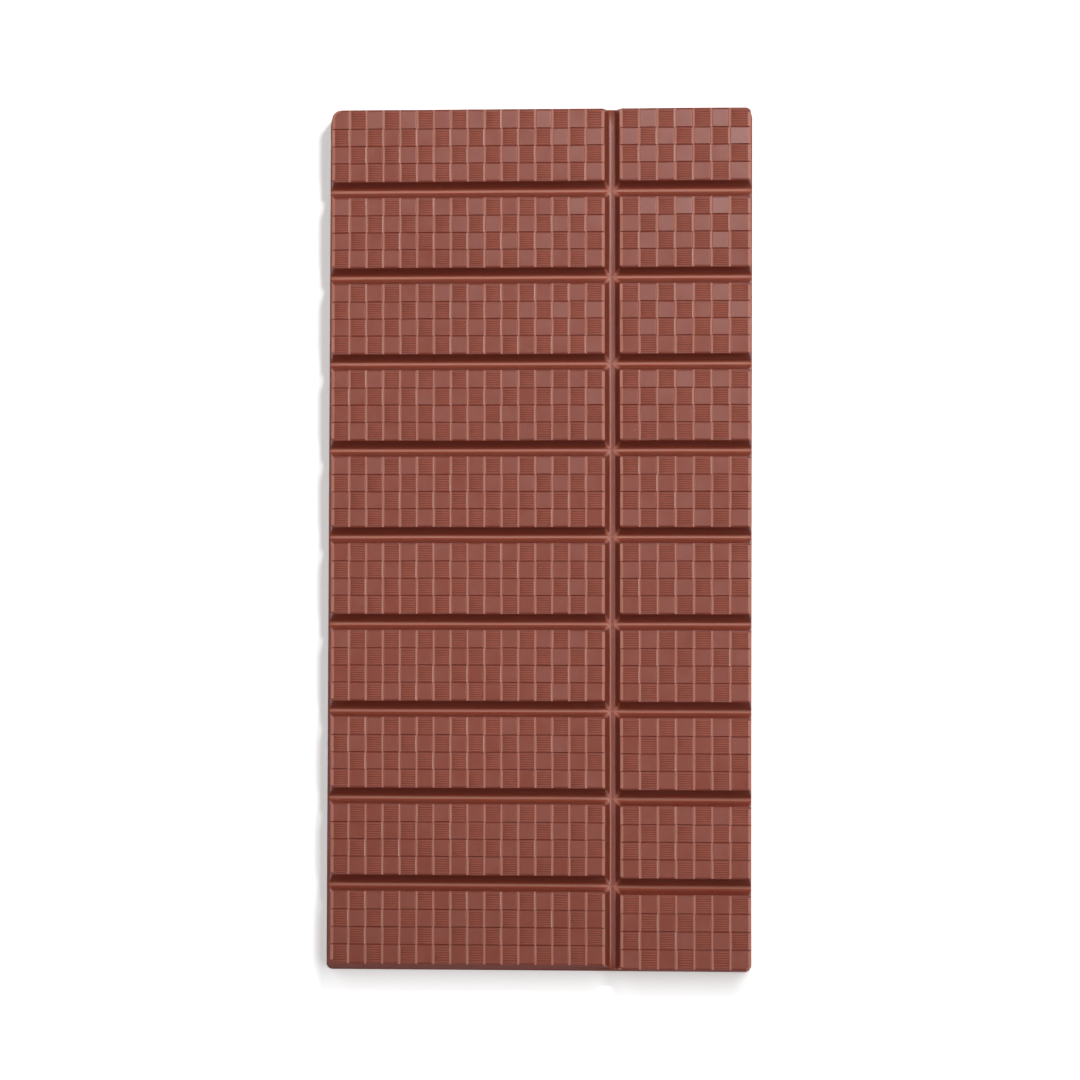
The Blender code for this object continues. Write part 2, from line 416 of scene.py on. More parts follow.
class Block:
    """One block: its rim, which of its sides are the bar's own, and its squares."""

    def __init__(self, mould, box, outer, columns, extras, smooth_first):
        sizes = mould.sizes
        self.mould = mould
        self.box = box
        self.outer = outer
        self.smooth_first = smooth_first
        self.x_lines = square_lines(box[0], box[1], columns, *extras)
        end_extra = sizes.row_extra + sizes.end_row_extra / 2
        first_extra = end_extra if outer[SOUTH] else sizes.row_extra
        last_extra = end_extra if outer[NORTH] else sizes.row_extra
        self.y_lines = square_lines(box[2], box[3], sizes.square_rows, first_extra, last_extra)

    def side_offset(self, side, level):
        if self.outer[side]:
            return self.mould.lean(self.mould.level_height(level))
        sizes = self.mould.sizes
        across, along, _ = self.mould.profile[level]
        if side in (EAST, WEST):
            return along * sizes.centre_channel / 2
        return across * sizes.row_channel / 2

    def corner_radius(self, turn, level):
        """Radius of the corner between side turn - 1 and side turn."""
        sizes = self.mould.sizes
        outer_sides = self.outer[turn - 1] + self.outer[turn]
        if outer_sides == 2:
            return BAR_CORNER_RADIUS[CORNER_SIDES[turn]] + self.side_offset(turn, level)
        width_share = self.mould.profile[level][0]
        foot = CHANNEL_FOOT[0]
        if outer_sides == 1:
            return sizes.mouth_corner * (1 - width_share)
        if width_share < foot:
            growth = sizes.foot_corner - sizes.block_corner
            return sizes.block_corner + growth * width_share / foot
        return sizes.foot_corner * ((1 - width_share) / (1 - foot)) ** FLOOR_CORNER_POWER

    def ring(self, level):
        """The block's closed outline at one level of the channel wall."""
        x0, x1, y0, y1 = self.box
        south, east, north, west = [self.side_offset(side, level) for side in range(4)]
        box = (x0 - west, x1 + east, y0 - south, y1 + north)
        radii = [self.corner_radius(turn, level) for turn in range(4)]
        height = self.mould.level_height(level)
        return rounded_outline(box, radii, self.x_lines[1:-1], self.y_lines[1:-1], height)

    def add_walls(self, surface):
        rings = [self.ring(level) for level in range(self.mould.last_level + 1)]
        for level, (inner, outer) in enumerate(zip(rings, rings[1:])):
            surface.band(outer, inner, self.wall_painted_lights(level))

    def wall_painted_lights(self, level):
        """Painted light and shade of the wall's faces below one level, in the order of the outline.
        """
        # Painted shade on the upper channel walls and the outer walls, painted highlights on the
        # blocks' corners and the middle of the row channels' floors.
        wall_painted_shade = PAINTED_WALL_SHADE if level < len(WALL_STEPS) else 0.0
        in_middle = level >= self.mould.last_level - HIGHLIGHT_FLOOR_STEPS
        row_painted_light = PAINTED_FLOOR_HIGHLIGHT if in_middle else wall_painted_shade
        painted_lights = []
        for turn in range(4):
            outer_sides = self.outer[turn - 1] + self.outer[turn]
            end_painted_shade = PAINTED_OUTER_SHADE if outer_sides == 2 else wall_painted_shade
            pale = outer_sides == 0 and level >= HIGHLIGHT_CORNER_LEVEL
            corner_painted_light = PAINTED_CORNER_HIGHLIGHT if pale else end_painted_shade
            painted_lights.extend([end_painted_shade, *[corner_painted_light] * (CORNER_STEPS - 2), end_painted_shade])
            lines, side_painted_light = self.y_lines, wall_painted_shade
            if turn in (SOUTH, NORTH):
                lines, side_painted_light = self.x_lines, row_painted_light
            if self.outer[turn]:
                side_painted_light = PAINTED_OUTER_SHADE
            painted_lights.extend([side_painted_light] * (len(lines) - 1))
        return painted_lights

    def squares(self):
        """Yields each square's box, corner radii, edges, sag, slope, and whether it is smooth.

        The sag and the slope along the bar come from the dome of the block's top.
        """
        sizes = self.mould.sizes
        last_column = len(self.x_lines) - 2
        last_row = len(self.y_lines) - 2
        corner_cells = ((0, 0), (last_column, 0), (last_column, last_row), (0, last_row))
        crisp = (sizes.bevel, CRISP)
        end_rim = (sizes.rim_bevel, CRISP)
        side_rim = (sizes.side_rim_bevel, RIM)
        grooves = (crisp, (sizes.east_bevel, SOFT), crisp, crisp)
        rims = (end_rim, side_rim, end_rim, side_rim)
        half_length = (self.box[3] - self.box[2]) / 2
        for row in range(last_row + 1):
            y0, y1 = self.y_lines[row:row + 2]
            off_middle = (y0 + y1 - self.box[2] - self.box[3]) / 2 / half_length
            sag = sizes.block_dome * off_middle**2
            slope = -2 * sizes.block_dome * off_middle / half_length
            for column in range(last_column + 1):
                x0, x1 = self.x_lines[column:column + 2]
                radii = [0.0] * 4
                if (column, row) in corner_cells:
                    turn = corner_cells.index((column, row))
                    radii[turn] = self.corner_radius(turn, 0)
                at_rim = (row == 0, column == last_column, row == last_row, column == 0)
                edges = [rims[side] if at_rim[side] else grooves[side] for side in range(4)]
                even = (last_row - row + column) % 2 == 0
                yield (x0, x1, y0, y1), radii, edges, sag, slope, even == self.smooth_first


def square_ring(box, radii, offsets):
    """A square's outline, drawn in by an offset on each side, its sharp corners and its sides."""
    south, east, north, west = offsets
    x0, x1, y0, y1 = box
    points = []
    sharp = []
    sides = []
    for turn, corner in enumerate(box_corners((x0 + west, x1 - east, y0 + south, y1 - north))):
        if radii[turn]:
            radius = max(radii[turn] - offsets[turn], SMALLEST_RADIUS)
            points.extend(arc(corner, turn, radius))
            sides.extend([turn] * (CORNER_STEPS + 1))
        else:
            sharp.append(len(points))
            points.append(corner)
            sides.append(turn)
    return points, sharp, sides


def edge_height(up, rise, relief):
    """Height above the groove's bottom, of an edge that ends at the height rise."""
    foot = min(up, EDGE_FOOT) * relief
    return foot + max(up - EDGE_FOOT, 0.0) / (1 - EDGE_FOOT) * (rise - EDGE_FOOT * relief)


def edge_painted_light(side, kind, step):
    """Painted light of a square's edge: a painted highlight along the bar's length, painted shade
    across it.
    """
    # The grooves across the bar get painted shade.
    if side in (SOUTH, NORTH):
        return PAINTED_GROOVE_SHADE
    return PAINTED_EDGE_HIGHLIGHT if step in HIGHLIGHT_STEPS[kind] else 0.0


def add_square(surface, mould, box, radii, edges, rise, slopes, tone):
    """Adds one square with its bevelled edges, its height above the rim and its slopes."""
    middle_x = (box[0] + box[1]) / 2
    middle_y = (box[2] + box[3]) / 2
    rings = []
    for shares in EDGE_PROFILE:
        offsets = [bevel * shares[kind] for bevel, kind in edges]
        points = []
        outline, sharp, sides = square_ring(box, radii, offsets)
        for x, y in outline:
            tilt = slopes[0] * (x - middle_x) + slopes[1] * (y - middle_y)
            height = edge_height(shares[0], rise + tilt, mould.sizes.relief)
            points.append((x, y, mould.rim + height))
        rings.append(points)
    for step, (outer, inner) in enumerate(zip(rings, rings[1:])):
        painted_lights = [edge_painted_light(side, edges[side][1], step) for side in sides]
        surface.band([*outer, outer[0]], [*inner, inner[0]], painted_lights)
        for corner in sharp:
            surface.crease(outer[corner], inner[corner])
    surface.face(rings[-1], tone)


def outline_at(mould, height, inset):
    """The bar's whole outline at a height under the channels, as one closed chain of points."""
    reach = mould.lean(height) - inset
    x = mould.rim_x + reach
    y = mould.rim_y + reach
    blocks = mould.blocks()
    longs = blocks[0::2]
    centre = (mould.long_end + mould.short_start) / 2
    across = [*blocks[0].x_lines[1:-1], centre, *blocks[1].x_lines[1:-1]]
    along = longs[0].y_lines[1:-1]
    for block, following in zip(longs, longs[1:]):
        along.append((block.box[3] + following.box[2]) / 2)
        along.extend(following.y_lines[1:-1])
    radii = [BAR_CORNER_RADIUS[side] + reach for side in CORNER_SIDES]
    return rounded_outline((-x, x, -y, y), radii, across, along, height)


def add_base(surface, mould):
    """The outer walls below the channel floors, the rounded foot edge and the flat back."""
    edge = mould.sizes.foot_edge
    lines = [(mould.floor * step, 0.0) for step in OUTER_WALL_STEPS]
    for step in range(FOOT_EDGE_STEPS + 1):
        angle = math.pi / 2 * step / FOOT_EDGE_STEPS
        lines.append((edge * (1 - math.sin(angle)), edge * (1 - math.cos(angle))))
    chains = [outline_at(mould, height, inset) for height, inset in lines]
    for upper, lower in zip(chains, chains[1:]):
        # The outer walls and the foot get painted shade.
        surface.band(lower, upper, [PAINTED_OUTER_SHADE] * len(lower))
    surface.face(reversed(chains[-1][:-1]))


def settle(point, mould):
    """Where a point of the mould's shape ends up on the real bar.

    The bar is a little wavy, its rows fan out towards the short blocks, and its left foot
    spreads towards the near end. The short blocks slip outwards at the near end. The right side
    stands out a little at the far end, and its foot draws in at the near end.
    """
    sizes = mould.sizes
    height = min(point.z / BAR_THICKNESS, 1.0)
    across = point.x / BAR_HIGH.x
    along = point.y / BAR_HIGH.y
    nearness = 0.5 - 0.5 * along
    at_left = max(-across, 0.0) ** SIDE_POWER
    at_right = max(across, 0.0) ** SIDE_POWER
    past_channel = min(max((point.x - mould.long_end) / sizes.centre_channel, 0.0), 1.0)

    wave = noise.noise_vector(point / WAVE_LENGTH)
    ripple = noise.noise_vector(point / RIPPLE_LENGTH)
    shift = (wave + RIPPLE_SHARE * ripple) * sizes.waviness * height
    spread = -sizes.foot_spread * at_left * (1 - height) * nearness
    skew = sizes.side_skew * at_right * (1 - nearness - (1 - height) * nearness)
    fan = sizes.row_fan * across * along
    slip = sizes.near_slip * past_channel * max(-along, 0.0) ** SLIP_POWER * height
    move = (shift.x + spread + skew, shift.y + fan - slip, UPRIGHT_SHARE * shift.z)
    return point + Vector(move)


# ---- Meshes and objects ----


def finished_mesh(name, mesh):
    data = bpy.data.meshes.new(name)
    mesh.to_mesh(data)
    mesh.free()
    return data


def new_object(name, data):
    made = bpy.data.objects.new(name, data)
    bpy.context.scene.collection.objects.link(made)
    return made


def material_object(name, mesh, material):
    mesh.materials.clear()
    mesh.materials.append(material)
    return new_object(name, mesh)


# ---- Node helpers ----


def fill_inputs(node, values):
    """Sets or links a node's inputs, by name or number."""
    for key, value in values.items():
        if isinstance(value, bpy.types.NodeSocket):
            node.id_data.links.new(value, node.inputs[key])
        else:
            node.inputs[key].default_value = value


def add_node(tree, kind, inputs=None, **settings):
    """Adds a node, sets its options, fills its inputs and returns its outputs."""
    node = tree.nodes.new(kind)
    for name, value in settings.items():
        setattr(node, name, value)
    fill_inputs(node, inputs or {})
    return node.outputs


def new_tree(name, kind, inputs, outputs):
    """Returns a node group, what it is given and its output node. Sockets are listed by kind."""
    tree = bpy.data.node_groups.new(name, kind)
    for in_out, sockets in (("INPUT", inputs), ("OUTPUT", outputs)):
        for socket, labels in sockets.items():
            for label in labels:
                tree.interface.new_socket(label, in_out=in_out, socket_type="NodeSocket" + socket)
    return tree, add_node(tree, "NodeGroupInput"), tree.nodes.new("NodeGroupOutput")


def calculate(tree, operation, first, second=0.0):
    return add_node(tree, "ShaderNodeMath", {0: first, 1: second}, operation=operation)[0]


def noise_value(tree, vector, scale, detail):
    inputs = {"Vector": vector, "Scale": scale, "Detail": detail}
    return add_node(tree, "ShaderNodeTexNoise", inputs)["Fac"]


def ramp(tree, value, span, low, high):
    """Goes from low to high while the value goes through the span, and stays there outside it."""
    inputs = {
        "Value": value,
        "From Min": span[0],
        "From Max": span[1],
        "To Min": low,
        "To Max": high,
    }
    return add_node(tree, "ShaderNodeMapRange", inputs)["Result"]


def mix_colours(tree, factor, first, second):
    # Inputs 6 and 7 and output 2 are the ones for colours.
    inputs = {"Factor": factor, 6: first, 7: second}
    return add_node(tree, "ShaderNodeMix", inputs, data_type="RGBA")[2]


def attribute(tree, name):
    return add_node(tree, "ShaderNodeAttribute", attribute_name=name)["Fac"]


# ---- Chocolate ----

# Scale, in waves to the metre, and detail of each noise pattern.
TONE_PATCHES = (55.0, 3.0)
TONE_GRAIN = (900.0, 2.0)
GLOSS_PATCHES = (120.0, 4.0)
SWELLS = (260.0, 2.0)
GRAIN_SCALE = 2500.0
GRAIN_DETAIL = 2.0
# Where in its pattern one tone or gloss passes into the other.
TONE_SPAN = (0.75, 1.25)
GLOSS_SPAN = (0.35, 0.65)
MOTTLING = 0.6
# Flecks to the metre, the share of them that shows, and where a fleck fades out.
FLECK_SPACING = 700.0
FLECK_CHANCE = 0.03
FLECK_SPAN = (0.04, 0.09)
# Height of the swells against the grain, and of both in metres.
SWELL_SHARE = 3.0
GRAIN_HEIGHT = 0.00001
# How much a face's painted light and shade roughen it, up to a limit, and the roughness of the
# outer walls.
TONED_ROUGHNESS = 0.9
TONED_ROUGHEST = 0.6
WALL_ROUGHNESS = 0.95
# How fast the painted light and shade take away a face's shine.
SHINE_LOSS = 2.0
SHINE_ROUGHNESS = 0.2
COCOA_BUTTER_IOR = 1.47
# How far light reaches into the chocolate, in metres, and the shares of red, green and blue.
LIGHT_REACH = 0.0009
LIGHT_REACH_SHARES = (1.0, 0.25, 0.12)


def cocoa_colour_and_painted_light_group():
    """Colour of the chocolate: mottled, with rare pale flecks, with the painted highlight where its
    tone is above 0 and the painted shade where it is below.
    """
    tree, given, result = new_tree(
        "Cocoa Tone",
        "ShaderNodeTree",
        {
            "Vector": ("Vector",),
            "Color": ("Body", "Deep", "Pale", "Edge", "Shade"),
            "Float": ("Tone", "Mottling", "Fleck Spacing", "Flecks"),
        },
        {"Color": ("Color",)},
    )
    vector = given["Vector"]
    broad = noise_value(tree, vector, *TONE_PATCHES)
    fine = noise_value(tree, vector, *TONE_GRAIN)
    patch = ramp(tree, calculate(tree, "ADD", broad, fine), TONE_SPAN, 0.0, 1.0)
    amount = calculate(tree, "MULTIPLY", patch, given["Mottling"])
    mottled = mix_colours(tree, amount, given["Body"], given["Deep"])

    spots = {"Vector": vector, "Scale": given["Fleck Spacing"]}
    cells = add_node(tree, "ShaderNodeTexVoronoi", spots)
    near = ramp(tree, cells["Distance"], FLECK_SPAN, 1.0, 0.0)
    chance = add_node(tree, "ShaderNodeSeparateColor", {"Color": cells["Color"]})
    chosen = calculate(tree, "LESS_THAN", chance["Red"], given["Flecks"])
    fleck = calculate(tree, "MULTIPLY", near, chosen)
    flecked = mix_colours(tree, fleck, mottled, given["Pale"])

    # A tone above 0 mixes in the painted highlight colour, a tone below 0 the painted shade.
    tone = given["Tone"]
    painted_highlight_amount = calculate(tree, "MAXIMUM", tone, 0.0)
    painted_shade_amount = calculate(tree, "MAXIMUM", calculate(tree, "MULTIPLY", tone, -1.0), 0.0)
    highlighted = mix_colours(tree, painted_highlight_amount, flecked, given["Edge"])
    shaded = mix_colours(tree, painted_shade_amount, highlighted, given["Shade"])
    fill_inputs(result, {"Color": shaded})
    return tree


def cocoa_skin_group():
    """Roughness, shine and fine height of a moulded chocolate surface."""
    tree, given, result = new_tree(
        "Cocoa Skin",
        "ShaderNodeTree",
        {
            "Vector": ("Vector",),
            "Float": ("Gloss", "Dull", "Shine", "Wall", "Tone", "Grain Scale"),
        },
        {"Float": ("Roughness", "Shine", "Height")},
    )
    vector = given["Vector"]
    wall = given["Wall"]
    strength = calculate(tree, "ABSOLUTE", given["Tone"])

    patches = noise_value(tree, vector, *GLOSS_PATCHES)
    plain = ramp(tree, patches, GLOSS_SPAN, given["Gloss"], given["Dull"])
    toned = calculate(tree, "MULTIPLY", strength, TONED_ROUGHNESS)
    toned = calculate(tree, "MINIMUM", toned, TONED_ROUGHEST)
    dull = calculate(tree, "MAXIMUM", calculate(tree, "MULTIPLY", wall, WALL_ROUGHNESS), toned)
    roughness = calculate(tree, "MAXIMUM", plain, dull)

    rubbed = calculate(tree, "MAXIMUM", wall, calculate(tree, "MULTIPLY", strength, SHINE_LOSS))
    left_over = calculate(tree, "MAXIMUM", calculate(tree, "SUBTRACT", 1.0, rubbed), 0.0)
    shine = calculate(tree, "MULTIPLY", given["Shine"], left_over)

    grain = noise_value(tree, vector, given["Grain Scale"], GRAIN_DETAIL)
    swell = calculate(tree, "MULTIPLY", noise_value(tree, vector, *SWELLS), SWELL_SHARE)
    height = calculate(tree, "ADD", grain, swell)
    fill_inputs(result, {"Roughness": roughness, "Shine": shine, "Height": height})
    return tree


def add_group(tree, name, make, inputs):
    """Places a shader group, which is built once, and fills its inputs."""
    group = bpy.data.node_groups.get(name) or make()
    return add_node(tree, "ShaderNodeGroup", inputs, node_tree=group)


def chocolate_material(name, look, body, roughness, shine, depth, bump):
    """A chocolate finish built from the shared groups, with this piece's own amounts.

    roughness is that of its smoothest and its dullest places. shine, depth and bump are the
    strengths of its fatty shine, of the light that passes through it, and of its fine grain.
    """
    material = bpy.data.materials.new(name)
    material.use_nodes = True
    tree = material.node_tree
    place = add_node(tree, "ShaderNodeTexCoord")["Object"]
    # Each face's painted light and shade, which the colour group mixes into the chocolate's colour.
    mask = attribute(tree, PAINTED_LIGHT_MASK)
    colour_and_painted_light_inputs = {
        "Vector": place,
        "Body": (*body, 1),
        "Deep": (*look.deep, 1),
        "Pale": (*look.pale, 1),
        "Edge": (*look.edge, 1),
        "Shade": (*look.shade, 1),
        "Tone": mask,
        "Mottling": MOTTLING,
        "Fleck Spacing": FLECK_SPACING,
        "Flecks": FLECK_CHANCE,
    }
    tone = add_group(tree, "Cocoa Tone", cocoa_colour_and_painted_light_group, colour_and_painted_light_inputs)
    skin_inputs = {
        "Vector": place,
        "Gloss": roughness[0],
        "Dull": roughness[1],
        "Shine": shine,
        "Wall": attribute(tree, WALL_MASK),
        "Tone": mask,
        "Grain Scale": GRAIN_SCALE,
    }
    skin = add_group(tree, "Cocoa Skin", cocoa_skin_group, skin_inputs)
    grain = {"Height": skin["Height"], "Strength": bump, "Distance": GRAIN_HEIGHT}
    relief = add_node(tree, "ShaderNodeBump", grain)
    finish = {
        "Base Color": tone["Color"],
        "Roughness": skin["Roughness"],
        "Coat Weight": skin["Shine"],
        "Coat Roughness": SHINE_ROUGHNESS,
        "Normal": relief["Normal"],
        "IOR": COCOA_BUTTER_IOR,
        "Subsurface Weight": depth,
        "Subsurface Radius": LIGHT_REACH_SHARES,
        "Subsurface Scale": LIGHT_REACH,
    }
    fill_inputs(tree.nodes["Principled BSDF"], finish)
    return material


# ---- Ribs ----

# A rib's cross-section over its crest: shares of pitch and height.
RIB_PROFILE = ((-0.4, -0.25), (-0.3, 0.6), (0.0, 1.0), (0.3, 0.6), (0.4, -0.25))
RIB_SEED = 3
# How much rougher the roughest ribs are.
RIB_ROUGHNESS_SPREAD = 0.1
# Attributes of each ribbed square's middle: the room that its ribs have.
RIB_LENGTH = "rib_length"
RIB_ROOM = "rib_room"


def rib_mesh(tip):
    """One rib of unit length, pitch and height, with sloping tips and a flat hidden foot."""
    mesh = bmesh.new()
    foot = RIB_PROFILE[0][1]
    near = [mesh.verts.new((-0.5 + tip, y, z)) for y, z in RIB_PROFILE]
    far = [mesh.verts.new((0.5 - tip, y, z)) for y, z in RIB_PROFILE]
    near_tip = mesh.verts.new((-0.5, 0.0, foot))
    far_tip = mesh.verts.new((0.5, 0.0, foot))
    for i in range(len(RIB_PROFILE) - 1):
        mesh.faces.new((near[i], far[i], far[i + 1], near[i + 1]))
        mesh.faces.new((near_tip, near[i], near[i + 1]))
        mesh.faces.new((far[i], far_tip, far[i + 1]))
    mesh.faces.new((near_tip, near[-1], far[-1], far_tip, far[0], near[0]))
    bmesh.ops.recalc_face_normals(mesh, faces=mesh.faces)
    return finished_mesh("rib", mesh)


def rib_tree():
    """Turns each point, the middle of a ribbed square, into that square's ribs."""
    tree, given, result = new_tree(
        "Ribs on Squares",
        "GeometryNodeTree",
        {
            "Geometry": ("Geometry",),
            "Object": ("Rib",),
            "Int": ("Ribs per Square", "Seed"),
            "Float": ("Rib Height", "Unevenness"),
            "Material": ("Material",),
        },
        {"Geometry": ("Geometry",)},
    )
    ribs = given["Ribs per Square"]
    width = add_node(tree, "GeometryNodeInputNamedAttribute", {"Name": RIB_LENGTH})
    room = add_node(tree, "GeometryNodeInputNamedAttribute", {"Name": RIB_ROOM})
    middles = {"Mesh": given["Geometry"]}
    points = add_node(tree, "GeometryNodeMeshToPoints", middles, mode="VERTICES")
    rows = {"Geometry": points["Points"], "Amount": ribs}
    copies = add_node(tree, "GeometryNodeDuplicateElements", rows, domain="POINT")

    pitch = calculate(tree, "DIVIDE", room["Attribute"], ribs)
    last = calculate(tree, "SUBTRACT", ribs, 1.0)
    middle = calculate(tree, "MULTIPLY", last, 0.5)
    place = calculate(tree, "SUBTRACT", copies["Duplicate Index"], middle)
    shift = calculate(tree, "MULTIPLY", place, pitch)
    offset = add_node(tree, "ShaderNodeCombineXYZ", {"Y": shift})
    moved = {"Geometry": copies["Geometry"], "Offset": offset["Vector"]}
    spread = add_node(tree, "GeometryNodeSetPosition", moved)

    low = calculate(tree, "SUBTRACT", 1.0, given["Unevenness"])
    high = calculate(tree, "ADD", 1.0, given["Unevenness"])
    # Inputs 2 and 3 and output 1 are the ones for single values.
    limits = {2: low, 3: high, "Seed": given["Seed"]}
    chance = add_node(tree, "FunctionNodeRandomValue", limits, data_type="FLOAT")
    tall = calculate(tree, "MULTIPLY", given["Rib Height"], chance[1])
    sides = {"X": width["Attribute"], "Y": pitch, "Z": tall}
    size = add_node(tree, "ShaderNodeCombineXYZ", sides)

    template = add_node(tree, "GeometryNodeObjectInfo", {"Object": given["Rib"]})
    copied = {
        "Points": spread["Geometry"],
        "Instance": template["Geometry"],
        "Scale": size["Vector"],
    }
    laid = add_node(tree, "GeometryNodeInstanceOnPoints", copied)
    real = add_node(tree, "GeometryNodeRealizeInstances", {"Geometry": laid["Instances"]})
    coated = {"Geometry": real["Geometry"], "Material": given["Material"]}
    finish = add_node(tree, "GeometryNodeSetMaterial", coated)
    fill_inputs(result, {"Geometry": finish["Geometry"]})
    return tree


def set_modifier_inputs(modifier, values):
    for item in modifier.node_group.interface.items_tree:
        if item.item_type == "SOCKET" and item.in_out == "INPUT" and item.name in values:
            modifier[item.identifier] = values[item.name]


def to_plain_mesh(made):
    """Replaces an object's mesh with what its modifiers make of it."""
    depsgraph = bpy.context.evaluated_depsgraph_get()
    mesh = bpy.data.meshes.new_from_object(made.evaluated_get(depsgraph), depsgraph=depsgraph)
    made.modifiers.clear()
    made.data = mesh


# ---- Operators ----


def add_blocks(surface, mould, seat):
    """Adds every block's walls and squares.

    seat is the height of the ribbed squares as a share of relief. Returns each ribbed square's
    box, edges and height.
    """
    limit = mould.sizes.square_tilt
    rolls = random.Random(SQUARE_SEED)
    ribbed = []
    for block in mould.blocks():
        block.add_walls(surface)
        for box, radii, edges, sag, slope, smooth in block.squares():
            tilt_x, tilt_y, rise = [rolls.uniform(-limit, limit) for _ in range(3)]
            slopes = (tilt_x / HALF_SQUARE, slope + tilt_y / HALF_SQUARE)
            height = mould.sizes.relief * (1.0 if smooth else seat)
            height += rise - 2 * limit - sag
            # The seats of the ribbed squares get painted shade, which shows between the ribs.
            tone = 0.0 if smooth else PAINTED_SEAT_SHADE
            add_square(surface, mould, box, radii, edges, height, slopes, tone)
            if not smooth:
                ribbed.append((box, edges, mould.rim + height))
    return ribbed


def remember_rib_places(ribbed, mould):
    """Keeps the middles of the ribbed squares, and the room on each, as a mesh of points."""
    middles = []
    lengths = []
    rooms = []
    for box, edges, height in ribbed:
        south, east, north, west = [bevel for bevel, _ in edges]
        x0, x1, y0, y1 = box[0] + west, box[1] - east, box[2] + south, box[3] - north
        middle = Vector(((x0 + x1) / 2, (y0 + y1) / 2, height))
        middles.append(settle(middle, mould))
        lengths.append(x1 - x0)
        rooms.append(y1 - y0)
    data = bpy.data.meshes.new("rib_places")
    data.from_pydata(middles, [], [])
    for name, values in ((RIB_LENGTH, lengths), (RIB_ROOM, rooms)):
        data.attributes.new(name, "FLOAT", "POINT").data.foreach_set("value", values)


class MouldBar(bpy.types.Operator):
    """Moulds the bar: its blocks, squares, channels, outer walls and back"""

    bl_idname = "chocolate.mould_bar"
    bl_label = "Mould the Bar"

    def execute(self, context):
        mould = Mould(context.scene.chocolate_bar_sizes)
        surface = Surface()
        ribbed = add_blocks(surface, mould, context.scene.chocolate_rib_sizes.seat)
        add_base(surface, mould)
        surface.settle(mould)
        look = context.scene.chocolate_look
        material = chocolate_material(
            "milk_chocolate_moulded",
            look,
            look.body,
            roughness=(look.gloss, look.dull),
            shine=look.shine,
            depth=0.6,
            bump=0.5,
        )
        bar = material_object("bar", finished_mesh("bar", surface.mesh), material)
        bar.data.shade_smooth()
        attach(bar, "root")
        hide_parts("chocolate_bar")
        remember_rib_places(ribbed, mould)
        return {"FINISHED"}


class LayRibs(bpy.types.Operator):
    """Lays the fine ribs on the ribbed squares of the moulded bar"""

    bl_idname = "chocolate.lay_ribs"
    bl_label = "Lay the Ribs"

    def execute(self, context):
        places = bpy.data.meshes.get("rib_places")
        if places is None:
            raise RuntimeError("mould the bar first: it says where the ribbed squares are")
        sizes = context.scene.chocolate_rib_sizes
        look = context.scene.chocolate_look
        template = new_object("rib", rib_mesh(sizes.tip))
        material = chocolate_material(
            "milk_chocolate_ribbed",
            look,
            # The ribs' lighter colour is painted light against their shading.
            look.rib,
            roughness=(look.rib_roughness, look.rib_roughness + RIB_ROUGHNESS_SPREAD),
            shine=0.0,
            depth=0.0,
            bump=0.3,
        )
        ribs = material_object("ribs", places, material)
        modifier = ribs.modifiers.new("ribs on squares", "NODES")
        modifier.node_group = rib_tree()
        inputs = {
            "Rib": template,
            "Ribs per Square": sizes.per_square,
            "Rib Height": sizes.height,
            "Unevenness": sizes.unevenness,
            "Seed": RIB_SEED,
            "Material": material,
        }
        set_modifier_inputs(modifier, inputs)
        to_plain_mesh(ribs)
        ribs.data.shade_smooth()
        bpy.data.objects.remove(template)
        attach(ribs, "root")
        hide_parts("chocolate_bar")
        return {"FINISHED"}


# ---- Stage ----

WHITE = (1, 1, 1, 1)
# Where the lights hang and look, and their sizes.
BAR_MIDDLE = (0.0, 0.0, 0.0)
KEY_PLACE = (0.80, 0.20, 1.80)
FILL_PLACE = (-0.80, 0.20, 1.80)
STRIP_WIDTH = 0.36
STRIP_LENGTH = 2.0
LAMP_PLACE = (0.122, 0.25, 0.51)
LAMP_TARGET = (0.03, 0.046, 0.0)
LAMP_RADIUS = 0.035
LAMP_BEAM = math.radians(26.5)
LAMP_BLEND = 0.32

# Half of the floor's width, its gap to the bar's back, and its finish.
FLOOR_REACH = 30.0
FLOOR_GAP = 0.0001
FLOOR_ROUGHNESS = 0.8
FLOOR_SPECULAR = 0.2

# The camera's sensor in millimetres, and its reach in metres.
SENSOR_WIDTH = 36
CAMERA_REACH = 20


def hang_light(data, position, target):
    """Hangs a light so that it looks at the target, with its own Y along the bar."""
    back = (Vector(position) - Vector(target)).normalized()
    right = Vector((0, 1, 0)).cross(back).normalized()
    light = new_object(data.name, data)
    light.location = position
    light.rotation_euler = Matrix((right, back.cross(right), back)).transposed().to_euler()


def strip_light(name, power, position):
    """A long narrow soft light, with its long side along the bar."""
    data = bpy.data.lights.new(name, "AREA")
    data.energy = power
    data.shape = "RECTANGLE"
    data.size = STRIP_WIDTH
    data.size_y = STRIP_LENGTH
    hang_light(data, position, BAR_MIDDLE)


def spot_lamp(power):
    """A lamp whose light fades out over the bar's near end."""
    data = bpy.data.lights.new("lamp", "SPOT")
    data.energy = power
    data.shadow_soft_size = LAMP_RADIUS
    data.spot_size = LAMP_BEAM
    data.spot_blend = LAMP_BLEND
    hang_light(data, LAMP_PLACE, LAMP_TARGET)


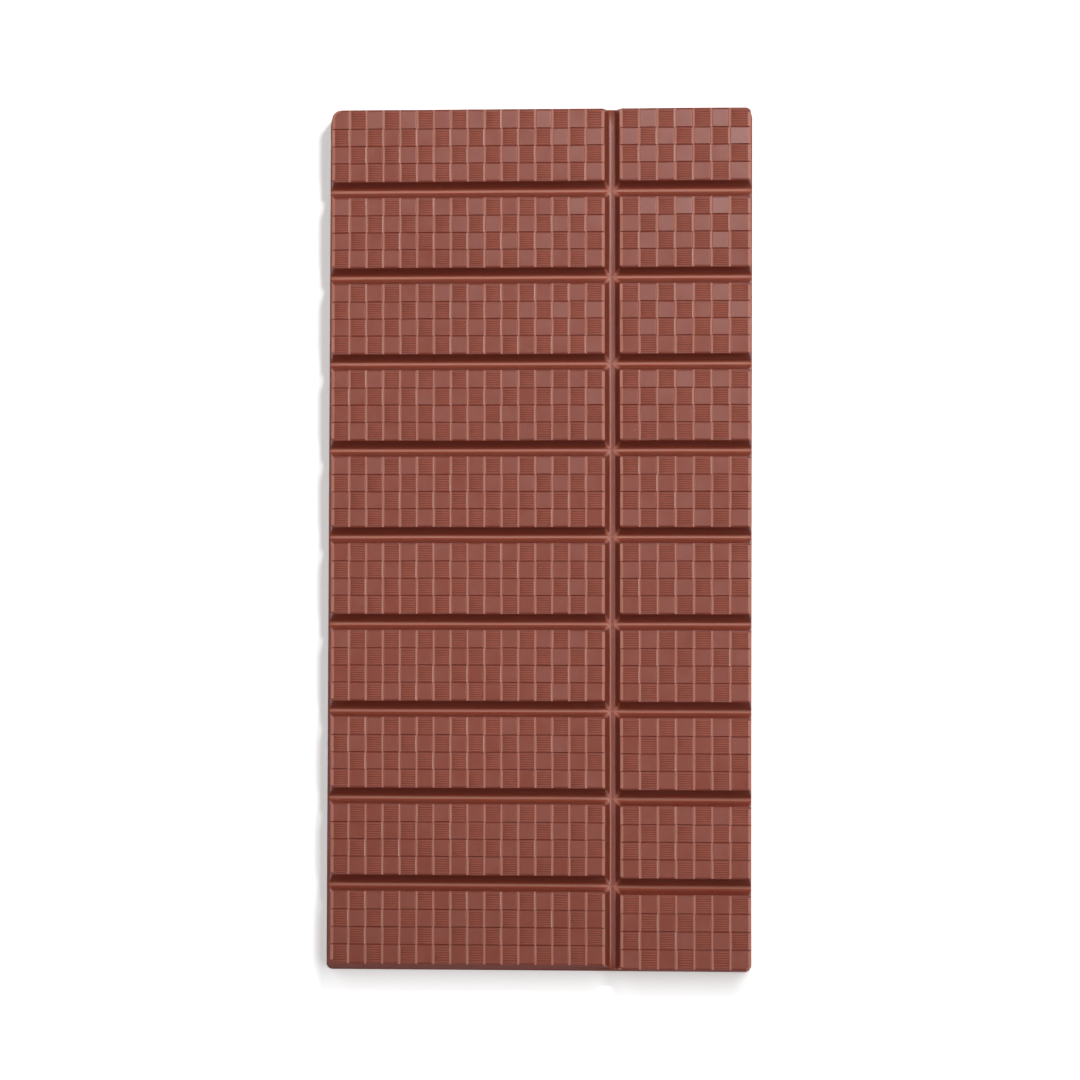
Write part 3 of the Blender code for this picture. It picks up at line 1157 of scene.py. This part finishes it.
class SetStage(bpy.types.Operator):
    """Sets the floor, the lights, the surroundings and the camera"""

    bl_idname = "chocolate.set_stage"
    bl_label = "Set the Stage"

    def execute(self, context):
        look = context.scene.chocolate_stage
        self.lay_floor(look)
        self.hang_lights(look)
        self.light_surroundings(context.scene, look)
        self.place_camera(context.scene, look)
        context.scene.view_settings.view_transform = "Standard"
        return {"FINISHED"}

    def lay_floor(self, look):
        mesh = bmesh.new()
        bmesh.ops.create_grid(mesh, x_segments=2, y_segments=2, size=FLOOR_REACH)
        material = bpy.data.materials.new("pale_floor")
        material.use_nodes = True
        finish = {
            "Base Color": (*look.floor, 1),
            "Roughness": FLOOR_ROUGHNESS,
            "Specular IOR Level": FLOOR_SPECULAR,
            "Emission Color": WHITE,
            "Emission Strength": look.floor_glow,
        }
        fill_inputs(material.node_tree.nodes["Principled BSDF"], finish)
        floor = material_object("floor", finished_mesh("floor", mesh), material)
        floor.location.z = -FLOOR_GAP

    def hang_lights(self, look):
        strip_light("key", look.key_power, KEY_PLACE)
        strip_light("fill", look.fill_power, FILL_PLACE)
        spot_lamp(look.lamp_power)

    def light_surroundings(self, scene, look):
        world = bpy.data.worlds.new("studio")
        world.use_nodes = True
        light = {"Color": WHITE, "Strength": look.sky}
        fill_inputs(world.node_tree.nodes["Background"], light)
        scene.world = world

    def place_camera(self, scene, look):
        data = bpy.data.cameras.new("camera")
        data.sensor_width = SENSOR_WIDTH
        data.lens = SENSOR_WIDTH * look.camera_distance / look.view_width
        data.clip_end = CAMERA_REACH
        camera = new_object("camera", data)
        back = Vector((0, -math.sin(look.camera_tilt), math.cos(look.camera_tilt)))
        target = Vector((look.aim_x, look.aim_y, BAR_THICKNESS / 2))
        camera.location = target + back * look.camera_distance
        camera.rotation_euler = (-back).to_track_quat("-Z", "Y").to_euler()
        scene.camera = camera


# ---- Panel and registration ----

# The settings kept on the scene, each with the operator that its box in the panel holds.
SETTINGS = {
    "chocolate_bar_sizes": (BarSizes, MouldBar),
    "chocolate_rib_sizes": (RibSizes, LayRibs),
    "chocolate_look": (ChocolateLook, None),
    "chocolate_stage": (StageLook, SetStage),
}


class ChocolatePanel(bpy.types.Panel):
    """Everything of the chocolate bar, in the sidebar"""

    bl_idname = "CHOCOLATE_PT_studio"
    bl_label = "Chocolate Bar"
    bl_space_type = "VIEW_3D"
    bl_region_type = "UI"
    bl_category = "Chocolate"

    def draw(self, context):
        for name, (_, operator) in SETTINGS.items():
            box = self.layout.box()
            settings = getattr(context.scene, name)
            for field in settings.bl_rna.properties:
                if field.identifier not in ("rna_type", "name"):
                    box.prop(settings, field.identifier)
            if operator:
                box.operator(operator.bl_idname)


def register():
    for name, (settings, operator) in SETTINGS.items():
        bpy.utils.register_class(settings)
        setattr(bpy.types.Scene, name, PointerProperty(type=settings))
        if operator:
            bpy.utils.register_class(operator)
    bpy.utils.register_class(ChocolatePanel)


def unregister():
    bpy.utils.unregister_class(ChocolatePanel)
    for name, (settings, operator) in reversed(SETTINGS.items()):
        if operator:
            bpy.utils.unregister_class(operator)
        delattr(bpy.types.Scene, name)
        bpy.utils.unregister_class(settings)


def main():
    register()
    bpy.ops.chocolate.set_stage()
    bpy.ops.chocolate.mould_bar()
    bpy.ops.chocolate.lay_ribs()


if __name__ == "__main__":
    main()
